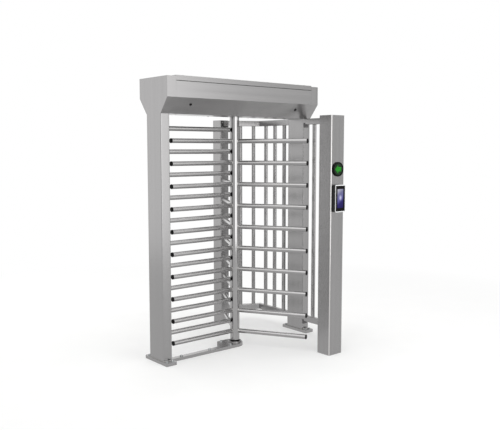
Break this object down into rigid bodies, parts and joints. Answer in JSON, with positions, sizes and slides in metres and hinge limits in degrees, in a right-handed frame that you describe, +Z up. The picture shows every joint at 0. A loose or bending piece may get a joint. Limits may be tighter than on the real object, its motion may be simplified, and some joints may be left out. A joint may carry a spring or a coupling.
{
  "type": "full height turnstile",
  "caption": "Full height security turnstile: a three-wing rotor of horizontal arms turns between a comb of bars and a barred cage, under a canopy with its top bearing and lock.",
  "frame": {"origin": "on the floor, on the rotor's axis", "axes": "+Z up, +X from the comb side to the cage side, -Y the side with the reader"},
  "size_m": [1.6, 1.546, 2.228],
  "materials": {
    "brushed_stainless": "brushed stainless steel, fine even grain",
    "polished_stainless": "bright polished stainless steel",
    "zinc_plated_steel": "zinc-plated sheet steel, satin",
    "machined_steel": "machined steel, lightly oiled",
    "black_plastic": "satin black moulded plastic",
    "grey_plastic": "matte grey enclosure plastic",
    "green_lens": "clear diffusing lens lit in green"
  },
  "bodies": {
    "gate_frame": {"left_post": "brushed_stainless", "right_post": "brushed_stainless", "left_foot_plate": "brushed_stainless", "right_foot_plate": "brushed_stainless", "floor_plate": "brushed_stainless", "comb_bar_01": "brushed_stainless", "comb_bar_02": "brushed_stainless", "comb_bar_03": "brushed_stainless", "comb_bar_04": "brushed_stainless", "comb_bar_05": "brushed_stainless", "comb_bar_06": "brushed_stainless", "comb_bar_07": "brushed_stainless", "comb_bar_08": "brushed_stainless", "comb_bar_09": "brushed_stainless", "comb_bar_10": "brushed_stainless", "floor_pivot": "machined_steel", "left_head": "brushed_stainless", "right_head": "brushed_stainless", "header_beam": "zinc_plated_steel", "soffit_panel": "brushed_stainless", "hinge_rod": "machined_steel", "rear_cover": "brushed_stainless", "lid": "brushed_stainless", "lid_rail_front": "zinc_plated_steel", "lid_rail_rear": "zinc_plated_steel", "bearing_housing": "machined_steel", "top_bearing": "polished_stainless", "lock_solenoid_front": "zinc_plated_steel", "lock_solenoid_rear": "zinc_plated_steel", "control_box": "grey_plastic", "front_post": "brushed_stainless", "rear_post": "brushed_stainless", "rear_side_grille": "brushed_stainless", "rear_corner_grille": "brushed_stainless", "front_side_grille": "brushed_stainless", "front_corner_grille": "brushed_stainless", "light_bezel": "black_plastic", "light_lens": "green_lens", "reader": "black_plastic"},
    "rotor": {"floor_bush": "black_plastic", "rotor_shaft": "polished_stainless", "arm_tier_01": "brushed_stainless", "arm_tier_02": "brushed_stainless", "arm_tier_03": "brushed_stainless", "arm_tier_04": "brushed_stainless", "arm_tier_05": "brushed_stainless", "arm_tier_06": "brushed_stainless", "arm_tier_07": "brushed_stainless", "arm_tier_08": "brushed_stainless", "arm_tier_09": "brushed_stainless", "arm_tier_10": "brushed_stainless", "index_cam": "machined_steel", "lock_wheel": "machined_steel"},
    "front_cover": {"front_cover": "brushed_stainless"},
    "cover_lock_left": {"cover_lock_left": "black_plastic"},
    "cover_lock_right": {"cover_lock_right": "black_plastic"},
    "index_arm": {"index_arm": "zinc_plated_steel"},
    "index_roller": {"index_roller": "black_plastic"},
    "lock_pawl_front": {"lock_pawl_front": "machined_steel"},
    "lock_pawl_rear": {"lock_pawl_rear": "machined_steel"}
  },
  "joints": [
    {"name": "rotor_turn", "type": "hinge", "parent": "gate_frame", "child": "rotor", "pos_m": [0, 0, 0.1], "axis": [0, 0, 1], "continuous": true},
    {"name": "front_cover_swing", "type": "hinge", "parent": "gate_frame", "child": "front_cover", "pos_m": [0, -0.19, 2.183], "axis": [-1, 0, 0], "range_deg": [0, 80]},
    {"name": "cover_lock_left_turn", "type": "hinge", "parent": "front_cover", "child": "cover_lock_left", "pos_m": [-0.555, -0.15652, 2.01639], "axis": [0, 0.784, 0.6207], "range_deg": [0, 90]},
    {"name": "cover_lock_right_turn", "type": "hinge", "parent": "front_cover", "child": "cover_lock_right", "pos_m": [0.555, -0.15652, 2.01639], "axis": [0, 0.784, 0.6207], "range_deg": [0, 90]},
    {"name": "index_arm_swing", "type": "hinge", "parent": "gate_frame", "child": "index_arm", "pos_m": [0.086, -0.1025, 2], "axis": [0, 0, 1], "range_deg": [-8, 0]},
    {"name": "index_roller_spin", "type": "hinge", "parent": "index_arm", "child": "index_roller", "pos_m": [0.0986, 0, 2.008], "axis": [0, 0, 1], "continuous": true},
    {"name": "lock_pawl_front_swing", "type": "hinge", "parent": "gate_frame", "child": "lock_pawl_front", "pos_m": [-0.0362, -0.1025, 2.036], "axis": [0, 0, 1], "range_deg": [-9.7, 0]},
    {"name": "lock_pawl_rear_swing", "type": "hinge", "parent": "gate_frame", "child": "lock_pawl_rear", "pos_m": [-0.0362, 0.1025, 2.036], "axis": [0, 0, 1], "range_deg": [0, 9.7]}
  ]
}
